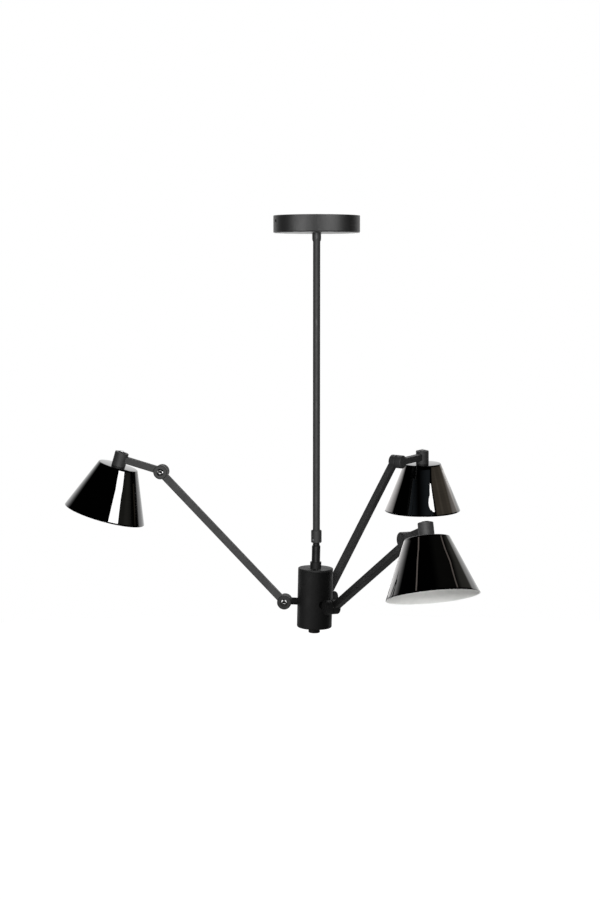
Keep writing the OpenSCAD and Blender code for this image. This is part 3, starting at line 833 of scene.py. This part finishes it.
@dataclass
class Screws:
    """The bright screws of the joints and of the posts, and where their heads are."""

    effects: Effects
    reach: float = 8.0 * MM
    elbow_drill_point: float = 0.4 * MM
    heads: dict[str, ScrewHead] = field(default_factory=dict)

    def keep_head(self, name: str, centre: Vector, lathe: Lathe, piece: Object) -> None:
        """Keeps a point in a screw's head, the way that it looks along its axis, and its piece."""
        self.heads[name] = ScrewHead(centre, lathe.matrix.to_3x3() @ Vector((0.0, 0.0, 1.0)), piece)

    def joint_axis(self, joint: str, node: str) -> Lathe:
        """Finds the axis of a hinge, towards the head of the screw on it.

        Args:
            joint: Name of the hinge.
            node: CAD node of the screw.

        Returns:
            The axis.
        """
        hinge = next(j for j in frame["joints"] if j["name"] == joint)
        origin, along = Vector(hinge["pos_m"]), Vector(hinge["axis"])
        low, high, _ = Lathe.on(origin, along).span(node, self.reach)
        return Lathe.on(origin, along if high > -low else -along)

    def build_single(self, name: str, body: str, screw: CapScrew) -> Object:
        """Makes a piece of one screw.

        Args:
            name: Name of the place that the screw holds.
            body: CAD body that it moves with.
            screw: The screw.

        Returns:
            The piece.
        """
        place = screw.lathe.matrix
        chrome = SCREW_CHROME.material(self.effects, place)
        piece = finish_piece(f"{name}_cap_screw", screw.mesh(), place, (chrome,), body,
                             screw.node)
        self.keep_head(name, centre_of_mass(screw.node), screw.lathe, piece)
        return piece

    def build_elbow(self, arm: str) -> Object:
        """Makes the screw of one elbow.

        Args:
            arm: Name of the arm.

        Returns:
            The screw.
        """
        node = f"{arm}_elbow_screw"
        lathe = self.joint_axis(f"{arm}_elbow_hinge", node)
        screw = CapScrew(node, lathe, drill_point=self.elbow_drill_point)
        return self.build_single(f"{arm}_elbow", f"{arm}_head", screw)

    def build_post(self, head: LampHead) -> Object:
        """Returns the screw on the post of one lamp head."""
        screw = CapScrew(f"{head.arm}_post_screw", head.lathe)
        return self.build_single(f"{head.arm}_post", f"{head.arm}_head", screw)

    def build_bases(self) -> Object:
        """Makes the three screws of the hub as one piece.

        Returns:
            The screws.
        """
        node = "base_screws"
        lathes = [self.joint_axis(f"{arm}_arm_hinge", node) for arm in ARMS]
        whole = bmesh.new()
        for number, lathe in enumerate(lathes):
            screw = CapScrew(node, lathe, self.reach).mesh()
            for face in screw.faces:
                face.material_index = number
            bmesh.ops.transform(screw, matrix=lathe.matrix, verts=screw.verts)
            part = bpy.data.meshes.new("base_screw_part")
            screw.to_mesh(part)
            screw.free()
            whole.from_mesh(part)
            bpy.data.meshes.remove(part)
        materials = [SCREW_CHROME.material(self.effects, lathe.matrix) for lathe in lathes]
        piece = finish_piece("base_cap_screws", whole, Matrix.Identity(4), materials, "hub", node)
        for arm, lathe in zip(ARMS, lathes):
            self.keep_head(f"{arm}_base", lathe.matrix.to_translation(), lathe, piece)
        return piece

    def find_grub(self) -> None:
        """Keeps the place of the grub screw, which looks away from the rod's axis."""
        node = "swivel_grub_screw"
        centre = centre_of_mass(node)
        lathe = Lathe.on(centre, Vector((centre.x, centre.y, 0.0)))
        self.keep_head("grub", centre, lathe, frame["nodes"][node])


@dataclass
class Dressing:
    """Gives every carried-over node its finish."""

    effects: Effects
    made: dict[str, Material] = field(default_factory=dict)

    def material(self, finish: PowderCoat | TurnedMetal | Moulded) -> Material:
        """Makes the material of a finish once.

        Args:
            finish: The finish.

        Returns:
            Its material.
        """
        if finish.name not in self.made:
            self.made[finish.name] = finish.material(self.effects)
        return self.made[finish.name]

    def dress(self) -> None:
        """Puts the finishes on the nodes that are shown."""
        for name, node in frame["nodes"].items():
            kind = name
            for arm in ARMS:
                kind = kind.removeprefix(arm + "_")
            if kind not in NODE_FINISHES or node.hide_render:
                continue
            material = self.material(NODE_FINISHES[kind])
            for slot in node.material_slots:
                slot.material = material
            log.info("%s: dressed in %s", name, material.name)


# Studio


class Lit(Enum):
    """How a lamp treats the pieces of its group."""

    ALONE = "INCLUDE"
    NOT = "EXCLUDE"


class Group(Enum):
    """Groups of pieces that a lamp alone lights, or that it leaves out."""

    LEFT_OUT = "out_of_lamp_light"
    DIM = "dim"
    MIRRORS = "mirrors"
    HUB = "hub"
    CANOPY = "canopy"
    INSIDES = "white_insides"


def light_group(name: str, pieces: Iterable[Object], lit: Lit = Lit.ALONE) -> Collection:
    """Collects pieces for light linking.

    Args:
        name: Name of the collection.
        pieces: The pieces.
        lit: Whether the pieces alone get the light, or go without it.

    Returns:
        The collection.
    """
    group = bpy.data.collections.new(name)
    for piece in pieces:
        group.objects.link(piece)
    for row in group.collection_objects:
        row.light_linking.link_state = lit.value
    return group


def hang_panel(name: str, grid: list[list[tuple[Vector, float]]], colour: Colour, strength: float,
               mirror: Object) -> None:
    """Hangs a lit panel that one piece mirrors and nothing else shows.

    Args:
        name: The panel's name.
        grid: Rows of places, each with its share of the strength.
        colour: Colour of the light.
        strength: Strength of the light.
        mirror: The piece that mirrors it.
    """
    mesh = bmesh.new()
    level = mesh.verts.layers.float.new("share")
    bmesh.ops.create_grid(mesh, x_segments=len(grid[0]) - 1, y_segments=len(grid) - 1, size=1.0)
    for corner, (place, share) in zip(mesh.verts, (cell for row in grid for cell in row)):
        corner.co = place
        corner[level] = share
    material = bpy.data.materials.new(name)
    tree = bare_tree(material)
    part = tree.add("Attribute", attribute_name="share").outputs["Fac"]
    light = tree.add("Emission", {"Color": colour, "Strength": tree.maths("MULTIPLY", part, strength)})
    clear = tree.add("BsdfTransparent")
    both = tree.add("AddShader", {0: light.outputs[0], 1: clear.outputs[0]})
    tree.add("OutputMaterial", {"Surface": both.outputs[0]})
    panel = mesh_in_scene(name, mesh, (material,))
    panel.visible_camera = panel.visible_diffuse = panel.visible_shadow = panel.visible_transmission = False
    panel.light_linking.receiver_collection = light_group(name + "_mirror", [mirror])


@dataclass(frozen=True)
class SoftBox:
    """A soft box lamp: where it hangs, the point that it faces, its width and height, and its power."""

    name: str
    group: Group
    place: Place
    target: Place
    size: Pair
    watts: float

    def hang(self, group: Collection) -> None:
        """Hangs the lamp.

        Args:
            group: Pieces that the lamp alone lights, or that it leaves out.
        """
        data = bpy.data.lights.new(self.name, "AREA")
        data.shape = "RECTANGLE"
        data.size, data.size_y = self.size
        data.energy = self.watts
        lamp = in_scene(self.name, data)
        lamp.location = self.place
        lamp.rotation_euler = (Vector(self.target) - lamp.location).to_track_quat("-Z", "Y").to_euler()
        lamp.visible_camera = False
        lamp.light_linking.receiver_collection = group


@dataclass
class Studio:
    """Camera, floor, surroundings and lamps.

    left_wall and right_wall hold the two values of Y in a direction between which the dim room becomes the
    white wall, on each side, and walls_meet the values of X between which the sides meet.
    """

    photo_width: int = 600
    photo_height: int = 900
    focal_pixels: float = 1684.5
    camera_place: Place = (-0.0240, -2.4474, -0.0914)
    camera_pitch: float = 5.78
    ceiling_height: float = 2.4
    floor_radius: float = 9.0
    floor_sides: int = 96
    floor_colour: Colour = grey(0.5)
    floor_roughness: float = 0.9
    floor_seen: float = 0.95
    floor_bounce: float = 0.9
    floor_front: float = 0.06
    floor_lit: Pair = (2.0, 5.0)
    wall_level: float = 1.1
    room_level: float = 0.004
    left_wall: Pair = (0.40, 0.80)
    right_wall: Pair = (0.56, 0.66)
    walls_meet: Pair = (-0.1, 0.1)

    def place_camera(self) -> None:
        """Sets the camera at the photograph's place and angle."""
        data = bpy.data.cameras.new("camera")
        data.sensor_fit = "VERTICAL"
        data.sensor_height = data.sensor_width
        data.lens = self.focal_pixels * data.sensor_height / self.photo_height
        camera = in_scene("camera", data)
        camera.location = self.camera_place
        camera.rotation_euler = (math.radians(90.0 - self.camera_pitch), 0.0, 0.0)
        bpy.context.scene.camera = camera

    def sight(self, across: float, down: float) -> Vector:
        """Finds the line of sight through a place in the photograph.

        Args:
            across: Pixels from the left edge.
            down: Pixels from the upper edge.

        Returns:
            The unit vector from the camera.
        """
        pitch = math.radians(self.camera_pitch)
        ahead = Vector((0.0, math.cos(pitch), -math.sin(pitch))) * self.focal_pixels
        below = Vector((0.0, -math.sin(pitch), -math.cos(pitch))) * (down - self.photo_height / 2)
        aside = Vector((across - self.photo_width / 2, 0.0, 0.0))
        return (ahead + below + aside).normalized()

    def lay_floor(self) -> None:
        """Lays a pale floor at the height of a room below the ceiling, clear to a look from under it."""
        mesh = bmesh.new()
        bmesh.ops.create_circle(mesh, cap_ends=True, segments=self.floor_sides, radius=self.floor_radius)
        bmesh.ops.translate(mesh, vec=(0.0, 0.0, -self.ceiling_height), verts=mesh.verts)
        material = bpy.data.materials.new("floor")
        tree = bare_tree(material)
        shader = tree.add("BsdfPrincipled", {"Base Color": self.floor_colour,
                                             "Roughness": self.floor_roughness})
        path = tree.add("LightPath").outputs
        across = tree.add("SeparateXYZ", {0: tree.add("TexCoord").outputs["Object"]}).outputs["Y"]
        lit_part = tree.ramp(across, self.floor_lit, (self.floor_front, 1.0))
        mirrored = tree.maths("MAXIMUM", path["Is Glossy Ray"], path["Is Transmission Ray"])
        thrown = tree.mix(mirrored, self.floor_bounce, self.floor_seen)
        level = tree.mix(path["Is Camera Ray"], tree.maths("MULTIPLY", thrown, lit_part), self.floor_seen)
        glow = tree.add("Emission", {"Color": WHITE, "Strength": level})
        lit = tree.add("AddShader", {0: shader.outputs[0], 1: glow.outputs[0]})
        under = tree.add("NewGeometry").outputs["Backfacing"]
        clear = tree.add("BsdfTransparent")
        shown = tree.add("MixShader", {0: under, 1: lit.outputs[0], 2: clear.outputs[0]})
        tree.add("OutputMaterial", {"Surface": shown.outputs[0]})
        floor = mesh_in_scene("floor", mesh, (material,))

    def surround(self) -> None:
        """Sets the surroundings: a white wall behind the lamp and a dim room before it."""
        world = bpy.data.worlds.new("studio")
        bpy.context.scene.world = world
        tree = bare_tree(world)
        path = tree.add("LightPath").outputs
        direction = tree.add("SeparateXYZ", {0: tree.add("TexCoord").outputs["Generated"]}).outputs
        levels = (self.room_level, self.wall_level)
        left = tree.ramp(direction["Y"], self.left_wall, levels)
        right = tree.ramp(direction["Y"], self.right_wall, levels)
        wall = tree.mix(tree.ramp(direction["X"], self.walls_meet), left, right)
        seen = tree.mix(path["Is Camera Ray"], wall, 1.0)
        sky = tree.add("Background", {"Color": WHITE, "Strength": seen})
        tree.add("OutputWorld", {"Surface": sky.outputs[0]})

    def light(self, screws: list[Object], shades: list[Object], insides: list[Object]) -> None:
        """Hangs the lamps.

        Args:
            screws: The bright screws.
            shades: The three shades.
            insides: What shows inside the shades.
        """
        hub = [frame["nodes"][name] for name in HUB_NODES]
        dim = hub + [frame["nodes"][name] for name in FRONT_ARM_NODES]
        canopy = [frame["nodes"]["canopy"]]
        rows = ((Group.LEFT_OUT, screws + shades + dim + canopy, Lit.NOT), (Group.DIM, dim, Lit.ALONE),
                (Group.MIRRORS, screws + shades, Lit.NOT), (Group.HUB, hub, Lit.ALONE),
                (Group.CANOPY, canopy, Lit.ALONE), (Group.INSIDES, shades + insides, Lit.ALONE))
        groups = {group: light_group(group.value, pieces, lit) for group, pieces, lit in rows}
        for box in SOFT_BOXES:
            box.hang(groups[box.group])


@dataclass(frozen=True)
class Reflection:
    """A lit panel in the room that one shade mirrors, given by where the photograph shows it on the shade.

    A row is a height in the photograph with the panel's left and right edge there, in pixels. The panel fades
    over so many pixels at its left and its right edge.
    """

    name: str
    arm: str
    colour: Colour
    strength: float
    rows: tuple[Row, ...]
    fade: Pair = (0.0, 0.0)
    cell: float = 1.5
    distance: float = 1.6

    def share(self, left: float, right: float, across: float) -> float:
        """Returns the share of the strength at a place between the two edges."""
        gaps = (across - left, right - across)
        return min([1.0] + [gap / width for gap, width in zip(gaps, self.fade) if width > 0.0])

    def fine_rows(self) -> list[Row]:
        """Adds rows between the given ones.

        Returns:
            All the rows, about two cells apart.
        """
        fine = [self.rows[0]]
        for first, second in zip(self.rows, self.rows[1:]):
            steps = math.ceil((second[0] - first[0]) / (2 * self.cell))
            for step in range(1, steps + 1):
                fine.append(tuple(a + (b - a) * step / steps for a, b in zip(first, second)))
        return fine

    def hang(self, studio: Studio, head: LampHead, shade: Object) -> None:
        """Hangs the panel where the shade mirrors it to the camera.

        Args:
            studio: The studio, which holds the camera.
            head: The lamp head.
            shade: Its shade.
        """
        eye = Vector(studio.camera_place)
        columns = max(math.ceil((right - left) / self.cell) for _, left, right in self.rows)
        grid = []
        for down, left, right in self.fine_rows():
            places = [left + (right - left) * column / columns for column in range(columns + 1)]
            grid.append([(head.mirrored(eye, studio.sight(across, down), self.distance),
                          self.share(left, right, across)) for across in places])
        hang_panel(self.name, grid, self.colour, self.strength, shade)


@dataclass(frozen=True)
class Speck:
    """A light that shows as a bright speck on a screw, given by how the screw's surface leans there.

    The turn goes round the head from its right over its top, and the slope is how far the surface leans
    outwards, or inwards in the socket, both in degrees.
    """

    screw: str
    turn: Pair
    slope: Pair
    strength: float
    steps: int = 8
    distance: float = 1.5

    def hang(self, studio: Studio, number: int, screw: ScrewHead) -> None:
        """Hangs the light where the screw mirrors it to the camera.

        Args:
            studio: The studio, which holds the camera.
            number: Number of the speck.
            screw: The screw's head.
        """
        aside = (Vector((1.0, 0.0, 0.0)) - screw.facing.x * screw.facing).normalized()
        above = screw.facing.cross(aside)
        sight = (screw.centre - Vector(studio.camera_place)).normalized()
        start, end = self.turn
        grid = []
        for step in range(self.steps + 1):
            turn = math.radians(start + (end - start) * step / self.steps)
            outward = aside * math.cos(turn) + above * math.sin(turn)
            normals = [screw.facing + outward * math.tan(math.radians(slope)) for slope in self.slope]
            grid.append([(screw.centre + self.distance * sight.reflect(normal.normalized()), 1.0)
                         for normal in normals])
        hang_panel(f"{self.screw}_speck_{number}", grid, WHITE, self.strength, screw.piece)


# What the main lamp leaves to weaker ones
HUB_NODES = ("hub_body", "hub_finial")
FRONT_ARM_NODES = ("front_base_knuckle", "front_arm_lower_knuckle", "front_arm_bar",
                   "front_arm_upper_knuckle", "front_forearm_knuckle", "front_forearm")

SOFT_BOXES = (
    SoftBox("front_soft_box", Group.LEFT_OUT, (-0.12, -1.5, -0.10), (0.0, 0.0, -0.35), (0.5, 0.4), 22.0),
    SoftBox("weak_soft_box", Group.DIM, (-0.12, -1.5, -0.10), (0.0, 0.0, -0.35), (0.5, 0.4), 4.5),
    SoftBox("back_soft_box", Group.MIRRORS, (0.2, 1.3, 0.9), (0.0, 0.0, -0.45), (0.6, 0.4), 6.0),
    SoftBox("hub_soft_box", Group.HUB, (-1.1, -1.1, -0.3), (0.0, 0.0, -0.57), (0.5, 0.4), 8.0),
    SoftBox("canopy_left_box", Group.CANOPY, (-0.74, -0.94, 0.24), (0.0, 0.0, -0.02), (1.1, 0.4), 12.5),
    SoftBox("canopy_right_box", Group.CANOPY, (0.66, -1.00, 0.24), (0.0, 0.0, -0.02), (1.1, 0.4), 13.5),
    SoftBox("canopy_back_light", Group.CANOPY, (0.0, 1.6, -0.35), (0.0, 0.0, -0.03), (1.4, 0.3), 2.2),
    SoftBox("low_soft_box", Group.INSIDES, (0.55, -0.9, -1.5), (0.18, -0.1, -0.5), (0.5, 0.5), 8.0),
    SoftBox("rim_soft_box", Group.INSIDES, (0.15, -1.4, -0.12), (0.18, -0.1, -0.5), (0.4, 0.2), 14.0),
)

SPECKS = (
    Speck("left_base", (122.0, 172.0), (16.0, 21.0), 3.6),
    Speck("left_base", (8.0, 48.0), (16.0, 21.0), 3.6),
    Speck("left_base", (215.0, 252.0), (-15.0, -25.0), 3.6),
    Speck("left_base", (288.0, 325.0), (-15.0, -25.0), 3.6),
    Speck("left_elbow", (140.0, 182.0), (16.0, 22.0), 1.8),
    Speck("left_elbow", (-8.0, 22.0), (16.0, 23.0), 8.0),
    Speck("left_elbow", (215.0, 300.0), (-7.0, -14.0), 6.0),
    Speck("left_post", (245.0, 290.0), (4.0, 20.0), 4.0),
    Speck("left_post", (320.0, 360.0), (8.0, 20.0), 2.0),
    Speck("front_post", (190.0, 350.0), (2.0, 24.0), 3.0),
    Speck("rear_post", (230.0, 310.0), (10.0, 24.0), 1.0),
    Speck("grub", (0.0, 360.0), (0.0, 14.0), 0.4),
)

WARM: Colour = (1.0, 0.86, 0.78, 1.0)
BROWN: Colour = (0.50, 0.42, 0.33, 1.0)
OLIVE: Colour = (0.50, 0.49, 0.43, 1.0)
BLUE: Colour = (0.42, 0.50, 0.58, 1.0)
ROSE: Colour = (1.0, 0.95, 0.93, 1.0)

REFLECTIONS = (
    Reflection("left_window", "left", WHITE, 13.0, (
        (467.0, 119.5, 124.9), (480.0, 117.2, 123.5), (490.0, 115.4, 122.3), (500.0, 113.0, 120.5),
        (512.0, 110.3, 119.1), (528.0, 106.6, 117.4))),
    Reflection("left_room", "left", OLIVE, 0.20, (
        (468.0, 125.3, 132.6), (490.0, 122.6, 131.8), (500.0, 120.8, 131.7), (528.0, 117.7, 132.8)),
        fade=(0.0, 1.0)),
    Reflection("left_lit_door", "left", OLIVE, 0.08, (
        (476.0, 126.0, 129.5), (500.0, 124.5, 129.0), (528.0, 122.5, 129.0)), fade=(1.5, 1.5)),
    Reflection("left_door", "left", BROWN, 0.30, (
        (484.0, 132.5, 134.1), (500.0, 133.0, 135.0), (528.0, 134.2, 137.0)), fade=(0.5, 0.5)),
    Reflection("rear_window", "rear", WHITE, 13.0, (
        (483.0, 429.9, 430.5), (485.0, 429.7, 430.9), (489.0, 429.6, 431.4), (495.0, 429.6, 432.2),
        (498.0, 428.9, 432.7), (502.0, 428.4, 433.3), (506.5, 428.9, 433.9), (510.0, 430.3, 434.4),
        (512.3, 433.2, 434.8))),
    Reflection("rear_side_wall", "rear", BROWN, 0.68, (
        (462.0, 430.6, 440.6), (470.0, 431.0, 443.2), (484.0, 431.3, 448.4), (495.0, 433.0, 452.2),
        (508.0, 435.2, 457.0), (517.0, 436.6, 460.0)), fade=(0.4, 0.0)),
    Reflection("rear_wall_streak", "rear", BROWN, 0.25, (
        (468.0, 432.6, 434.4), (500.0, 438.6, 441.4), (517.0, 442.2, 445.4)), fade=(1.0, 1.0)),
    Reflection("rear_wall_far_streak", "rear", BROWN, 0.20, (
        (468.0, 437.0, 439.4), (500.0, 445.0, 449.0), (517.0, 449.5, 453.8)), fade=(1.5, 1.5)),
    Reflection("rear_near_wall", "rear", ROSE, 0.7, (
        (470.0, 440.5, 444.3), (484.0, 444.4, 449.4), (500.0, 448.6, 454.2), (517.0, 452.8, 459.6)),
        fade=(1.5, 1.5)),
    Reflection("rear_room", "rear", BLUE, 0.20, (
        (478.0, 412.0, 417.5), (490.0, 410.0, 417.8), (500.0, 408.6, 418.0), (517.0, 406.6, 418.6)),
        fade=(1.0, 6.0)),
    Reflection("rear_doorway", "rear", BLUE, 0.20, (
        (470.0, 419.0, 430.0), (483.0, 419.0, 429.6), (495.0, 419.0, 429.2), (502.0, 419.0, 428.1),
        (507.0, 419.0, 428.6), (512.0, 419.0, 432.0), (517.0, 419.0, 435.0)), fade=(8.0, 0.0)),
    Reflection("rear_back_wall", "rear", ROSE, 1.6, (
        (462.0, 402.0, 407.4), (480.0, 394.0, 402.8), (500.0, 386.0, 396.6), (510.0, 382.5, 393.6),
        (517.0, 380.0, 391.6)), fade=(6.0, 1.6)),
    Reflection("front_back_wall", "front", ROSE, 0.68, (
        (540.0, 404.0, 411.5), (556.0, 398.8, 407.5), (571.0, 394.3, 404.0), (587.0, 389.5, 400.5),
        (598.0, 386.3, 397.6)), fade=(0.0, 7.0)),
    Reflection("front_room", "front", OLIVE, 0.05, (
        (534.0, 427.0, 439.0), (560.0, 431.0, 448.0), (592.0, 436.0, 458.0)), fade=(6.0, 0.0)),
    Reflection("front_tube", "front", WARM, 1.0, (
        (532.0, 418.2, 419.4), (550.0, 417.7, 418.9), (560.0, 416.8, 418.0), (580.0, 415.9, 417.2),
        (596.0, 415.2, 416.5))),
    Reflection("front_far_tube", "front", WARM, 0.8, (
        (532.0, 439.4, 440.7), (540.0, 441.5, 442.8), (550.0, 444.6, 446.0), (560.0, 448.9, 450.2),
        (570.0, 451.7, 453.1), (580.0, 454.5, 455.9), (594.0, 459.2, 460.6))),
    Reflection("front_side_wall", "front", OLIVE, 0.38, (
        (532.0, 441.2, 448.6), (540.0, 443.5, 452.0), (550.0, 446.6, 456.6), (560.0, 450.8, 461.0),
        (570.0, 453.6, 465.6), (580.0, 456.4, 470.2), (594.0, 461.0, 476.0)), fade=(4.0, 0.0)),
)


def main() -> None:
    """Builds the looks in order."""
    logging.basicConfig(level=logging.INFO, format="%(message)s")
    bpy.context.scene.view_settings.view_transform = "Standard"
    effects = Effects()
    dressing = Dressing(effects)
    screws = Screws(effects)
    studio = Studio()
    studio.place_camera()
    studio.lay_floor()
    bright = [screws.build_bases()]
    shades, insides = [], []
    for arm in ARMS:
        head = LampHead(arm)
        chrome = SHADE_CHROME.material(effects, head.lathe.matrix)
        shade = head.build_shade(chrome, dressing.material(ENAMEL))
        shades.append(shade)
        insides += [head.build_bulb(dressing.material(FROSTED)), frame["nodes"][f"{arm}_lampholder"]]
        bright += [screws.build_elbow(arm), screws.build_post(head)]
        for reflection in REFLECTIONS:
            if reflection.arm == arm:
                reflection.hang(studio, head, shade)
    screws.find_grub()
    for number, speck in enumerate(SPECKS):
        speck.hang(studio, number, screws.heads[speck.screw])
    dressing.dress()
    studio.surround()
    studio.light(bright, shades, insides)


if __name__ == "__main__":
    main()
